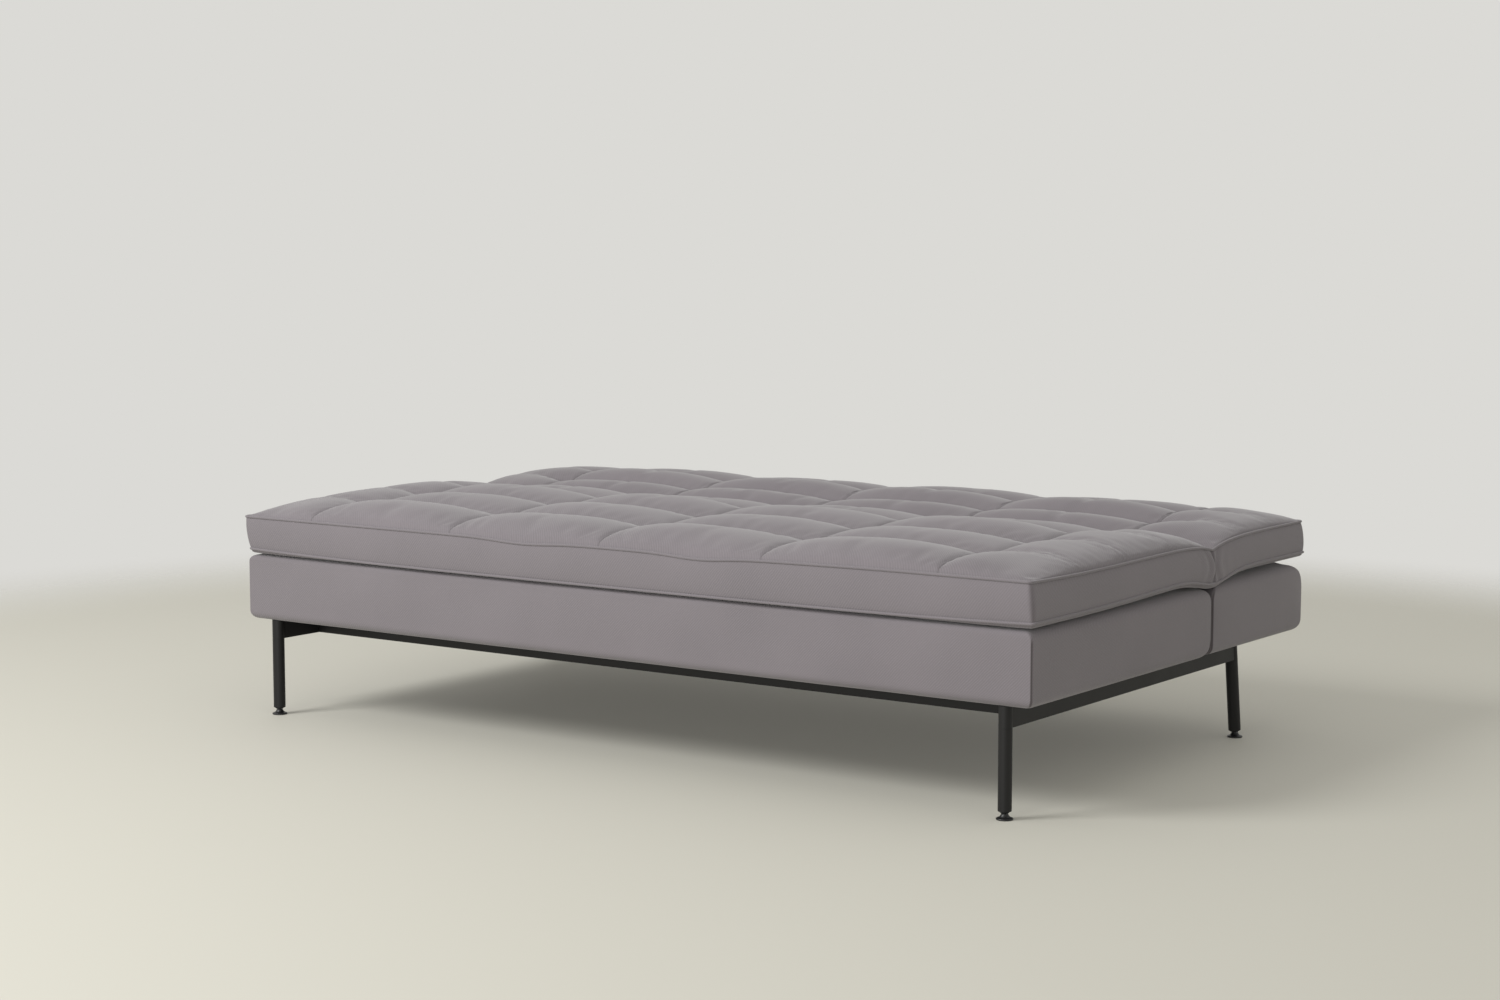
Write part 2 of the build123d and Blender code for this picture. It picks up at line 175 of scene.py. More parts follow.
# ---- hinges and fasteners ----
# Pressed plates, arms, pawls and bolts of mild steel, bright zinc plated against rust. The
# plating dries cloudy in patches a few millimetres wide over fine rolling lines.
ZINC_PATCH = 0.006
ROLL_LINE = 0.0009
zinc, tree, shader = start_material("bright_zinc_plate", {"Metallic": 1.0, "Roughness": 0.3})
place = add(tree, "ShaderNodeTexCoord").outputs["Object"]
patch_noise = add(tree, "ShaderNodeTexNoise", {
    "Vector": place, "Scale": 1 / ZINC_PATCH, "Detail": 3.0})
stretched = add(tree, "ShaderNodeMapping", {"Vector": place, "Scale": (1.0, 1.0, 0.05)})
lines = add(tree, "ShaderNodeTexNoise", {
    "Vector": stretched.outputs["Vector"], "Scale": 1 / ROLL_LINE, "Detail": 2.0})
tint = add(tree, "ShaderNodeMix", {
    "Factor": patch_noise.outputs["Fac"], "A": linear("#a6a9ab"), "B": linear("#c9cacb")},
    data_type="RGBA")
gloss = add(tree, "ShaderNodeMapRange", {
    "Value": patch_noise.outputs["Fac"], "To Min": 0.22, "To Max": 0.42})
relief = add(tree, "ShaderNodeBump", {
    "Height": lines.outputs["Fac"], "Strength": 0.15, "Distance": 0.0001})
tree.links.new(tint.outputs["Result"], shader.inputs["Base Color"])
tree.links.new(gloss.outputs["Result"], shader.inputs["Roughness"])
tree.links.new(relief.outputs["Normal"], shader.inputs["Normal"])
finish_nodes(zinc, "zinc_steel", "leg_studs", "arm_bolts", "pawl_pins",
             "pawl_springs",
             *[kind + "_" + side for kind in ("hinge_plate", "hinge_pin", "hinge_arm", "pawl")
               for side in SIDES])


# ---- rest buffers ----
# Thin black rubber pads glued on the end rails, which the back lies on. Moulded rubber is
# matt, with a bloom that greys it a little in patches.
rubber, tree, shader = start_material("moulded_rubber", {"Roughness": 0.8, "IOR": 1.52})
place = add(tree, "ShaderNodeTexCoord").outputs["Object"]
bloom = add(tree, "ShaderNodeTexNoise", {"Vector": place, "Scale": 220.0, "Detail": 4.0})
tint = add(tree, "ShaderNodeMix", {
    "Factor": bloom.outputs["Fac"], "A": linear("#1c1c1c"), "B": linear("#343433")},
    data_type="RGBA")
relief = add(tree, "ShaderNodeBump", {
    "Height": bloom.outputs["Fac"], "Strength": 0.2, "Distance": 0.0002})
tree.links.new(tint.outputs["Result"], shader.inputs["Base Color"])
tree.links.new(relief.outputs["Normal"], shader.inputs["Normal"])
finish_nodes(rubber, "buffer_rubber", "rest_buffers")


# ---- deck timber ----
# The beams of both decks are planed pine, with growth rings 3 to 4 mm apart that show as
# long grain. The sprung slats over them are birch plywood, pale and close grained. A wave
# texture of scale 1 has its bands AXIS_WAVE apart along an axis.
GROWTH_RING = 0.0035
PLY_GRAIN = 0.0012
GRAIN_STRETCH = 0.12
AXIS_WAVE = 0.314
for finish_name, pitch, early, late, slot_name, members in (
    ("planed_pine", GROWTH_RING, "#dcc093", "#b98a54", "pine", (
        "seat_front_beam", "seat_rear_beam", "seat_batten", "seat_side_beam_left",
        "seat_side_beam_right", "back_front_beam", "back_rear_beam", "back_side_beam_left",
        "back_side_beam_right")),
    ("birch_plywood", PLY_GRAIN, "#e3cfa9", "#cbac7c", "slat_ply", ("seat_slats", "back_slats")),
):
    timber, tree, shader = start_material(finish_name, {"Roughness": 0.6})
    place = add(tree, "ShaderNodeTexCoord").outputs["Object"]
    along = add(tree, "ShaderNodeMapping", {"Vector": place, "Scale": (GRAIN_STRETCH, 1.0, 1.0)})
    rings = add(tree, "ShaderNodeTexNoise", {
        "Vector": along.outputs["Vector"], "Scale": 1 / (4 * pitch), "Detail": 2.0})
    bands = add(tree, "ShaderNodeTexWave", {
        "Vector": along.outputs["Vector"], "Scale": AXIS_WAVE / pitch, "Distortion": 6.0,
        "Detail": 2.0, "Detail Scale": 0.4}, bands_direction="Z")
    both = add(tree, "ShaderNodeMath", {0: rings.outputs["Fac"], 1: bands.outputs["Fac"]},
               operation="MULTIPLY")
    tint = add(tree, "ShaderNodeMix", {
        "Factor": both.outputs["Value"], "A": linear(early), "B": linear(late)},
        data_type="RGBA")
    relief = add(tree, "ShaderNodeBump", {
        "Height": both.outputs["Value"], "Strength": 0.2, "Distance": 0.0003})
    tree.links.new(tint.outputs["Result"], shader.inputs["Base Color"])
    tree.links.new(relief.outputs["Normal"], shader.inputs["Normal"])
    finish_nodes(timber, slot_name, *members)


# ---- upholstery cloth and deck covers ----
# The cover of each deck is a soft grey woven cloth over foam, sewn up from panels with a seam
# down each corner and stapled under the deck. The threads of the real cloth are half a
# millimetre apart, too fine to show, so its twill is drawn at eight times that. A wave
# texture of scale 1 has its diagonal bands DIAGONAL_WAVE apart.
THREAD = 0.0005
TWILL = 8 * THREAD
DIAGONAL_WAVE = 0.444
SLUB = 0.004
SHADE_ATTRIBUTE = "painted_shade"
CLOTH_MAP = "cloth"
upholstery, tree, shader = start_material("grey_woven_cloth", {
    "Roughness": 0.9, "Specular IOR Level": 0.25, "Sheen Weight": 0.35, "Sheen Roughness": 0.45})
on_cloth = add(tree, "ShaderNodeUVMap", uv_map=CLOTH_MAP).outputs["UV"]
twill = add(tree, "ShaderNodeTexWave", {
    "Vector": on_cloth, "Scale": DIAGONAL_WAVE / TWILL, "Distortion": 2.5, "Detail": 1.0,
    "Detail Scale": 0.6}, bands_direction="DIAGONAL")
slubs = add(tree, "ShaderNodeTexNoise", {
    "Vector": on_cloth, "Scale": 1 / SLUB, "Detail": 3.0, "Roughness": 0.6})
nap = add(tree, "ShaderNodeTexNoise", {"Vector": on_cloth, "Scale": 5.0, "Detail": 3.0})
threads = add(tree, "ShaderNodeMath", {0: twill.outputs["Fac"], 1: slubs.outputs["Fac"]},
              operation="MULTIPLY")
weave_tint = add(tree, "ShaderNodeMix", {
    "Factor": threads.outputs["Value"], "A": linear("#6a6669"), "B": linear("#878085")},
    data_type="RGBA")
nap_tint = add(tree, "ShaderNodeMix", {
    "Factor": nap.outputs["Fac"], "A": weave_tint.outputs["Result"], "B": linear("#7d777b")},
    data_type="RGBA")
# Painted shade: a per-point attribute mixes the cloth towards a dark grey in its seam grooves.
painted_shade_node = add(tree, "ShaderNodeAttribute", attribute_name=SHADE_ATTRIBUTE)
painted_shade_tint = add(tree, "ShaderNodeMix", {
    "Factor": painted_shade_node.outputs["Fac"], "A": nap_tint.outputs["Result"],
    "B": linear("#4b4647")}, data_type="RGBA")
relief = add(tree, "ShaderNodeBump", {
    "Height": threads.outputs["Value"], "Strength": 0.5, "Distance": 0.0008})
tree.links.new(painted_shade_tint.outputs["Result"], shader.inputs["Base Color"])
tree.links.new(relief.outputs["Normal"], shader.inputs["Normal"])


def smooth(t):
    """Rises from 0 to 1 as t does, level at both ends."""
    t = np.clip(t, 0, 1)
    return t * t * (3 - 2 * t)


def bump_at(t, width):
    """1 at t = 0, falling off as a bell of that half-width."""
    return np.exp(-((t / width) ** 2))


def spaced(stops, cells, crowd):
    """Values from stop to stop with a count of cells between each pair, crowded towards the
    stops: the share t of the way moves to t - crowd sin(2 pi t) / 2 pi."""
    parts = []
    for low, high, count in zip(stops, stops[1:], cells):
        t = np.arange(count) / count
        parts.append(low + (high - low) * (t - crowd * np.sin(2 * np.pi * t) / (2 * np.pi)))
    return np.append(np.concatenate(parts), stops[-1])


def round_corners(x, y, ends, sides, radius):
    """Rounds the corners of a rectangle in plan: the square at each corner is bent to a quarter
    disc, where (u, v) goes to (u sqrt(1 - v v / 2), v sqrt(1 - u u / 2))."""
    middle_x, middle_y = sum(ends) / 2, sum(sides) / 2
    half_x, half_y = (ends[1] - ends[0]) / 2 - radius, (sides[1] - sides[0]) / 2 - radius
    u = np.clip((np.abs(x - middle_x) - half_x) / radius, 0, 1)
    v = np.clip((np.abs(y - middle_y) - half_y) / radius, 0, 1)
    moved_u = u * np.sqrt(1 - v * v / 2) - u
    moved_v = v * np.sqrt(1 - u * u / 2) - v
    return (x + radius * moved_u * np.sign(x - middle_x),
            y + radius * moved_v * np.sign(y - middle_y))


def rim(across, deep):
    """Grid places once round the edge of a grid, as two index arrays."""
    along, down = np.arange(across - 1), np.arange(deep - 1)
    i = np.concatenate([along, 0 * down + across - 1, across - 1 - along, 0 * down])
    j = np.concatenate([0 * along, down, 0 * along + deep - 1, deep - 1 - down])
    return i, j


def patch(index, uv):
    """Four-sided faces over a grid of vertex numbers, with the UV of each of their corners."""
    low, high = slice(None, -1), slice(1, None)
    corners = ((low, low), (high, low), (high, high), (low, high))
    faces = np.stack([index[c] for c in corners], -1).reshape(-1, 4)
    return faces, np.stack([uv[c] for c in corners], -2).reshape(-1, 4, 2)


def make_piece(name, points, patches, painted_shade=None):
    """A smooth cloth mesh from points and patches, its faces turned to look outwards: they
    do where the sum of each face's middle times its area vector is positive."""
    faces = np.concatenate([p[0] for p in patches])
    uv = np.concatenate([p[1] for p in patches])
    a, b, c, d = (points[faces[:, k]] for k in range(4))
    if np.sum(np.cross(c - a, d - b) * (a + b + c + d)) < 0:
        faces, uv = faces[:, ::-1], uv[:, ::-1]
    mesh = bpy.data.meshes.new(name)
    mesh.from_pydata(points.tolist(), [], faces.tolist())
    mesh.uv_layers.new(name=CLOTH_MAP).data.foreach_set("uv", uv.astype(np.float32).ravel())
    # Each point's painted shade for the seams, none where no values are given.
    shade_marks = np.zeros(len(points)) if painted_shade is None else painted_shade
    layer = mesh.attributes.new(SHADE_ATTRIBUTE, "FLOAT", "POINT")
    layer.data.foreach_set("value", np.clip(shade_marks, 0, 1).astype(np.float32))
    mesh.shade_smooth()
    mesh.materials.append(upholstery)
    piece = bpy.data.objects.new(name, mesh)
    bpy.context.scene.collection.objects.link(piece)
    return piece


def stuffed_form(top, bottom, band):
    """A closed form: a top grid, a bottom grid and a band of rows between their rims. Returns
    its points and patches, with UVs in metres along the cloth."""
    across, deep = top.shape[:2]
    i, j = rim(across, deep)
    count = across * deep
    top_index = np.arange(count).reshape(across, deep)
    bottom_index = top_index + count
    band_index = 2 * count + np.arange(band.shape[0] * band.shape[1]).reshape(band.shape[:2])
    rows = np.vstack([top_index[i, j], band_index, bottom_index[i, j]])
    rows = np.hstack([rows, rows[:, :1]])
    points = np.concatenate([top.reshape(-1, 3), bottom.reshape(-1, 3), band.reshape(-1, 3)])
    ring = points[rows]
    along = np.cumsum(np.linalg.norm(np.diff(ring[len(ring) // 2], axis=0), axis=1))
    along = np.broadcast_to(np.append(0, along), rows.shape)
    down = np.cumsum(np.linalg.norm(np.diff(ring, axis=0), axis=2).mean(1))
    down = np.broadcast_to(np.append(0, down)[:, None], rows.shape)
    patches = [patch(top_index, top[..., :2]), patch(bottom_index[::-1], bottom[::-1, :, :2]),
               patch(rows, np.stack([along, down], -1))]
    return points, patches


def inset(distance, radius):
    """How far a rounded edge has drawn in at a distance from the face that it meets."""
    d = np.clip(distance, 0, radius)
    return radius - np.sqrt(np.maximum(radius**2 - (radius - d) ** 2, 0))


def from_edges(x, y, ends, sides):
    """How far inside the nearest edge of a rectangle in plan."""
    return np.minimum(np.minimum(x - ends[0], ends[1] - x),
                      np.minimum(y - sides[0], sides[1] - y))


def from_corners(x, y, ends, sides):
    """How far from the nearest corner of a rectangle in plan."""
    return np.hypot(np.minimum(x - ends[0], ends[1] - x),
                    np.minimum(y - sides[0], sides[1] - y))


# The cloth bends over the top and under the foot within two depths. A pair of radii is the
# rounding at the foot and at the top. The rim of a deck sinks a little under the topper, and
# the corner seams start just below it. A flap of cloth is turned in under the deck.
TOP_BEND, FOOT_BEND = 0.055, 0.038
BEND_STEPS, WALL_STEPS = 12, 14
DECK_GRID = ((150, 0.95), (76, 0.93))
END_RADII = (0.018, 0.020)
DECK_CORNER = 0.0035
CORNER_LOSS = 0.4142 * DECK_CORNER
DECK_SWELL = 0.003
LONG_RIPPLE, SHORT_RIPPLE = 0.0007, 0.0005
EDGE_DROP, DROP_START, DROP_REACH = 0.005, 0.01, 0.04
# The corner seams are grooves, and painted shade darkens the cloth along them.
SEAM_DEPTH, SEAM_WIDTH, DECK_SEAM_SHADE = 0.001, 0.0013, 0.85
SEAM_START, SEAM_FADE = 0.006, 0.02
FLAP, FLAP_STEP, FLAP_SLOPE = 0.018, 0.0016, 0.01


def deck_cover(name, low, high, front_radii, rear_radii, waves):
    """A deck's cover: rectangles stacked from the top to the bottom, each drawn in at its four
    sides by the rounding of that side, with a small plan radius and a seam at each corner. The
    walls swell by a half sine of the depth and ripple by two sines of the length."""
    height = high.z - low.z
    bend = 1 - np.cos(np.linspace(0, np.pi / 2, BEND_STEPS))
    upper = TOP_BEND * bend
    lower = height - FOOT_BEND * bend[::-1]
    wall = np.linspace(upper[-1], lower[0], WALL_STEPS)[1:-1]
    depth = np.concatenate([upper, wall, lower])
    z = high.z - depth
    u, v = (spaced((0, 1), (cells,), crowd) for cells, crowd in DECK_GRID)

    def drawn_in(radii):
        """How far a side with those radii is drawn in at each depth."""
        return inset(height - depth, radii[0]) + inset(depth, radii[1])

    end, front, rear = drawn_in(END_RADII), drawn_in(front_radii), drawn_in(rear_radii)
    swell = DECK_SWELL * np.sin(np.pi * depth / height)

    def level(k, grid_u, grid_v):
        """One level of the stack, over the given shares of its length and depth. A high power
        of a share keeps the swell and the ripple to the walls and off the corners."""
        ends = (low.x + end[k], high.x - end[k])
        sides = (low.y + front[k], high.y - rear[k])
        x = ends[0] + (ends[1] - ends[0]) * grid_u
        y = sides[0] + (sides[1] - sides[0]) * grid_v
        middle_x, middle_y = 1 - (2 * grid_u - 1) ** 8, 1 - (2 * grid_v - 1) ** 8
        ripple = LONG_RIPPLE * np.sin(waves * x + 0.13 * k)
        ripple = ripple + SHORT_RIPPLE * np.sin(2.7 * waves * x + 2)
        x = x + (swell[k] + ripple) * middle_y * (2 * grid_u - 1) ** 21
        y = y + (swell[k] + ripple) * middle_x * (2 * grid_v - 1) ** 21
        return (*round_corners(x, y, ends, sides, DECK_CORNER), ends, sides)

    grid_u, grid_v = np.meshgrid(u, v, indexing="ij")
    i, j = rim(len(u), len(v))
    rows, shade_marks = [], []
    for k in range(1, len(z) - 1):
        x, y, ends, sides = level(k, u[i], v[j])
        seam = bump_at(from_corners(x, y, ends, sides) - CORNER_LOSS, SEAM_WIDTH)
        seam = seam * smooth((depth[k] - SEAM_START) / SEAM_FADE)
        x = x - SEAM_DEPTH * seam * np.sign(x)
        y = y - SEAM_DEPTH * seam * np.sign(y - sum(sides) / 2)
        sunk = EDGE_DROP * (1 - smooth(depth[k] / DROP_REACH))
        rows.append(np.stack([x, y, 0 * x + z[k] - sunk], -1))
        # Painted shade in the corner seam's groove.
        shade_marks.append(DECK_SEAM_SHADE * seam)
    box = ((low.x, high.x), (low.y, high.y))
    x, y, _, _ = level(0, grid_u, grid_v)
    sunk = EDGE_DROP * (1 - smooth((from_edges(x, y, *box) - DROP_START) / DROP_REACH))
    top = np.stack([x, y, z[0] - sunk], -1)
    x, y, _, _ = level(len(z) - 1, grid_u, grid_v)
    tucked = FLAP_STEP * smooth((from_edges(x, y, *box) - FLAP) / FLAP_SLOPE)
    bottom = np.stack([x, y, z[-1] + tucked], -1)
    points, patches = stuffed_form(top, bottom, np.array(rows))
    painted_shade = np.concatenate([np.zeros(2 * grid_u.size), np.ravel(shade_marks)])
    return make_piece(name, points, patches, painted_shade)


seat_low, seat_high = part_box("seat_cover")
back_low, back_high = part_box("back_cover")
SEAT_FRONT_RADII, SEAT_REAR_RADII = (0.016, 0.010), (0.038, 0.038)
BACK_FRONT_RADII, BACK_REAR_RADII = (0.008, 0.038), (0.027, 0.055)
seat_deck = deck_cover("seat_deck_cover", seat_low, seat_high, SEAT_FRONT_RADII,
                       SEAT_REAR_RADII, 9.0)
back_deck = deck_cover("back_deck_cover", back_low, back_high, BACK_FRONT_RADII,
                       BACK_REAR_RADII, 7.0)
for piece, deck, body in ((seat_deck, "seat", "frame"), (back_deck, "back", "back")):
    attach(piece, body)
    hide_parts(deck + "_cover", deck + "_foam")


# ---- dust cloths ----
# Thin black spun-bonded cloth stapled under each deck to close it. Its fibres are melted
# together in small dots, and it sags a little between the rails.
BOND_DOT = 0.0018
dust_cloth, tree, shader = start_material("black_spunbond_cloth", {"Roughness": 0.95})
place = add(tree, "ShaderNodeTexCoord").outputs["Object"]
dots = add(tree, "ShaderNodeTexVoronoi", {"Vector": place, "Scale": 1 / BOND_DOT})
fibres = add(tree, "ShaderNodeTexNoise", {"Vector": place, "Scale": 90.0, "Detail": 5.0})
mottle = add(tree, "ShaderNodeMath", {0: dots.outputs["Distance"], 1: fibres.outputs["Fac"]},
             operation="MULTIPLY")
tint = add(tree, "ShaderNodeMix", {
    "Factor": mottle.outputs["Value"], "A": linear("#1d1d1e"), "B": linear("#3a3a3b")},
    data_type="RGBA")
relief = add(tree, "ShaderNodeBump", {
    "Height": mottle.outputs["Value"], "Strength": 0.4, "Distance": 0.0003})
tree.links.new(tint.outputs["Result"], shader.inputs["Base Color"])
tree.links.new(relief.outputs["Normal"], shader.inputs["Normal"])

# A sheet sags by a half sine of its length times the 1.5th power of a half sine across each
# of its spans, which are two under the seat and one under the back.
SAG = 0.0022
SHEET_GRID = ((90, 0.3), (48, 0.3))
for deck, body, spans in (("seat", "frame", 2), ("back", "back", 1)):
    low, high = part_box(deck + "_dust_cloth")
    u, v = (spaced((0, 1), (cells,), crowd) for cells, crowd in SHEET_GRID)
    grid_u, grid_v = np.meshgrid(u, v, indexing="ij")
    sag = SAG * np.sin(np.pi * grid_u) * np.abs(np.sin(spans * np.pi * grid_v)) ** 1.5
    x = low.x + (high.x - low.x) * grid_u
    y = low.y + (high.y - low.y) * grid_v
    top = np.stack([x, y, high.z - sag], -1)
    bottom = np.stack([x, y, low.z - sag], -1)
    i, j = rim(len(u), len(v))
    band = (top[i, j] + bottom[i, j])[None] / 2
    cloth = make_piece(deck + "_dust_sheet", *stuffed_form(top, bottom, band))
    cloth.data.materials.clear()
    cloth.data.materials.append(dust_cloth)
    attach(cloth, body)
    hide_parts(deck + "_dust_cloth")


# ---- topper mattress ----
# One long tufted pad over both decks: two panels of the same grey cloth and a boxed edge,
# sewn round a wadding fill. Five seams cross it, and it is pulled down at five rows of tufts,
# so that it stands up in pillows between them. It lies a little askew and dips at the joint.
TOP_ENDS = (seat_low.x - 0.002, seat_high.x - 0.003)
FOOT_ENDS = (seat_low.x + 0.010, seat_high.x + 0.003)
EDGES = (seat_low.y - 0.003, back_high.y - 0.004)
JOINT = (seat_high.y + back_low.y) / 2
TOPPER_CORNER = 0.006

# The sewing, from the left end to the right and from the front to the back, with the number
# of cells between each pair of stops.
SEAMS = np.arange(-2, 3) * 0.38
SEAT_ROWS = seat_low.y + np.array([0.176, 0.353, 0.529])
BACK_ROWS = JOINT + np.array([0.14, 0.28])
TUFT_ROWS = np.array([*SEAT_ROWS, *BACK_ROWS])
PANEL_STOPS = np.array([TOP_ENDS[0], *SEAMS, TOP_ENDS[1]])
ROW_STOPS = np.array([EDGES[0], *SEAT_ROWS, JOINT, *BACK_ROWS, EDGES[1]])
PANEL_CELLS = (28, 52, 52, 52, 52, 28)
ROW_CELLS = (24, 22, 22, 24, 20, 18, 20)

# The two pipings: height, rise towards the back, and dip at the joint with its reach.
TOP_EDGE, TOP_RISE, TOP_DIP, TOP_DIP_REACH = 0.421, 0.009, 0.017, 0.065
FOOT_EDGE, FOOT_RISE, FOOT_DIP, FOOT_DIP_REACH = 0.354, 0.013, 0.019, 0.085
CORNER_LIFT = 0.005
FRONT_SAG = 0.008
SLACK = 0.006
SLACK_PLACES = ((-0.19, 0.09), (0.24, 0.08))


def top_edge_height(x, y):
    """Height of the upper piping. It rises towards the back by a smooth step, and near the
    front right corner. It dips at the joint by an exponential of the distance from it, and
    hangs slack by a bell at two places along the front."""
    behind = y - seat_low.y
    rise = TOP_RISE * smooth((behind - 0.15) / 0.75)
    rise = rise + CORNER_LIFT * smooth((x - 0.2) / 0.5) * np.exp(-behind / 0.15)
    dip = TOP_DIP * np.exp(-np.abs(y - JOINT) / TOP_DIP_REACH)
    hang = sum(bump_at(x - middle, width) for middle, width in SLACK_PLACES)
    return TOP_EDGE + rise - dip - SLACK * bump_at(behind, 0.1) * hang


def foot_edge_height(x, y):
    """Height of the lower piping. It rises towards the back by a smooth step, dips at the
    joint by a bell, and sags in front by a bell times 1 less the fourth power of x."""
    behind = y - seat_low.y
    rise = FOOT_RISE * smooth((behind - 0.15) / 0.7)
    rise = rise - FOOT_DIP * bump_at(y - JOINT, FOOT_DIP_REACH)
    sag = FRONT_SAG * bump_at(behind, 0.12) * (1 - np.abs(x / seat_high.x) ** 4)
    return FOOT_EDGE + rise - sag


def share_between(value, stops):
    """Which gap between stops each value is in, and its place there from -1 to 1."""
    gap = np.clip(np.searchsorted(stops, value, side="right") - 1, 0, len(stops) - 2)
    low, high = stops[gap], stops[gap + 1]
    return gap, np.clip((2 * value - low - high) / (high - low), -1, 1)


def nearest(value, lines):
    """Distance of each value from the nearest of some lines."""
    return np.min(np.abs(value[..., None] - lines), -1)


def quarter_round(t):
    """Rises from 0 to 1 as t does, along a quarter circle."""
    return np.sqrt(np.clip(1 - (1 - np.clip(t, 0, 1)) ** 2, 0, 1))


# Heights over the upper piping: the tufts at each row stop, and the pillows' crowns, which
# are lower by the seam dip at a seam. Between two tufts the floor rises by the valley.
TUFT_RISE = np.array([0, 0.017, 0.018, 0.012, -0.002, 0.005, 0.004, 0])
CROWN = np.array([0.043, 0.0455, 0.047, 0.031, 0.031, 0.040, 0.027])
SEAM_DIP = np.array([0.0215, 0.0215, 0.0215, 0.016, 0.016, 0.018, 0.010])
VALLEY = 0.010
END_RISE = (0.036, 0.026)
END_FADE = 0.13
SHOULDER = 0.10
CROWN_WAVE = 0.0015
PANEL_POWER = 2.6
EDGE_POWER, SEAM_POWER, ADDED_POWER = 0.42, 0.6, 0.35
GROOVE, GROOVE_WIDTH = 0.0012, 0.0016
TUFT_PULL, PULL_REACH = 0.004, 0.015
PUCKER, PUCKER_PITCH, PUCKER_LEAN = 0.0009, 0.019, 30
PUCKER_MIDDLE, PUCKER_SPREAD, PUCKER_REACH = 0.33, 0.13, 0.15


def end_puckers(x, y):
    """Puckers beside the right end's seam: a sine along it, whose phase grows as the square of
    the distance from it, under a bell along the seam and a straight fade away from it."""
    behind, inwards = y - seat_low.y, TOP_ENDS[1] - x
    wave = np.sin(behind * 2 * np.pi / PUCKER_PITCH + PUCKER_LEAN * inwards**2)
    wave *= bump_at(behind - PUCKER_MIDDLE, PUCKER_SPREAD)
    wave *= np.clip(1 - inwards / PUCKER_REACH, 0, 1)
    return PUCKER * wave * smooth(inwards / 0.012)


def top_height(x, y):
    """The tufted top. Between two seams A rises as 1 - s^2.6 and between two rows B rises
    as (1 - t t)^q, with q small at the seams, where it is pinched, and near 1 mid-panel. The
    floor F runs from tuft to tuft, and the height is F + (crown - dip (1 - A) - F) B. Beyond
    the last seams the rows fade into one dome over each deck, and a quarter round brings the
    top down to its ends. Seams are grooves, and tufts are pulled down by an exponential."""
    gap_x, s = share_between(x, PANEL_STOPS)
    gap_y, t = share_between(y, ROW_STOPS)
    from_seam = nearest(x, SEAMS)
    end_panel = (gap_x == 0) | (gap_x == len(PANEL_STOPS) - 2)
    near = np.clip(1 - from_seam / END_FADE, 0, 1)
    a = np.where(end_panel, 1 - near**2, 1 - np.abs(s) ** PANEL_POWER)
    at_low, at_high = TUFT_RISE[gap_y], TUFT_RISE[gap_y + 1]
    floor_rise = at_low + (at_high - at_low) * smooth((t + 1) / 2)
    crown = CROWN[gap_y] + CROWN_WAVE * np.sin(9.1 * x + 4.0 * gap_y + 1)
    outer = ((gap_y == 0) & (t < 0)) | ((gap_y == len(ROW_STOPS) - 2) & (t > 0))
    power = np.where(outer, EDGE_POWER, SEAM_POWER + ADDED_POWER * a)
    b = np.clip(1 - t * t, 0, 1) ** power
    valley = VALLEY * a * smooth(floor_rise / 0.01)
    raised = floor_rise + valley + (crown - SEAM_DIP[gap_y] * (1 - a) - floor_rise - valley) * b
    part_y, u = share_between(y, np.array([EDGES[0], JOINT, EDGES[1]]))
    whole = np.clip(1 - np.abs(u) ** PANEL_POWER, 0, 1) ** SEAM_POWER
    whole = np.take(END_RISE, part_y) * whole
    raised += (whole - raised) * np.where(end_panel, smooth(from_seam / END_FADE), 0)
    shoulder = quarter_round(np.minimum(x - TOP_ENDS[0], TOP_ENDS[1] - x) / SHOULDER)
    from_edge = from_edges(x, y, TOP_ENDS, EDGES)
    groove = GROOVE * bump_at(from_seam, GROOVE_WIDTH) * smooth(from_edge / 0.01)
    pull = TUFT_PULL * np.exp(-np.hypot(from_seam, nearest(y, TUFT_ROWS)) / PULL_REACH)
    return top_edge_height(x, y) + shoulder * raised + end_puckers(x, y) - groove - pull


def deck_height(x, y):
    """Height of the decks under the topper, where it lies on them."""
    seat = seat_high.z - np.maximum(inset(y - seat_low.y, SEAT_FRONT_RADII[1]),
                                    inset(seat_high.y - y, SEAT_REAR_RADII[1]))
    back = back_high.z - np.maximum(inset(y - back_low.y, BACK_FRONT_RADII[1]),
                                    inset(back_high.y - y, BACK_REAR_RADII[1]))
    end = inset(seat_high.x - np.abs(x), END_RADII[1])
    return np.where(y < JOINT, np.minimum(seat, seat_high.z - end),
                    np.minimum(back, back_high.z - end))


REST_GAP = 0.0008
JOINT_SINK, SINK_REACH = 0.014, 0.03
ROLL, ROLL_DROP = 0.008, 0.009


def foot_height(from_edge, x, y):
    """The underside. A quarter round rolls it under from the piping, a smooth step lays it on
    the deck, and a bell sinks it into the joint. Past the roll it stays clear of the deck."""
    resting = np.where(y < JOINT, seat_high.z, back_high.z) + REST_GAP
    resting = resting - JOINT_SINK * bump_at(y - JOINT, SINK_REACH)
    edge = foot_edge_height(x, y)
    lowered = np.maximum(edge - ROLL_DROP * quarter_round(from_edge / ROLL), resting - 0.0015)
    rolled = np.minimum(edge, lowered)
    z = rolled + (resting - rolled) * smooth((from_edge - 0.014) / 0.05)
    clear = np.minimum(deck_height(x, y) + REST_GAP, resting)
    return np.where(from_edge > ROLL, np.maximum(z, clear), z)


BAND_ROWS = 11
BULGE = 0.0045
TUCK, TUCK_WIDTH, TUCK_LEAN = 0.008, 0.012, 0.02
WRINKLE, WRINKLE_PITCH, WRINKLE_REACH = 0.0022, 0.034, 0.06


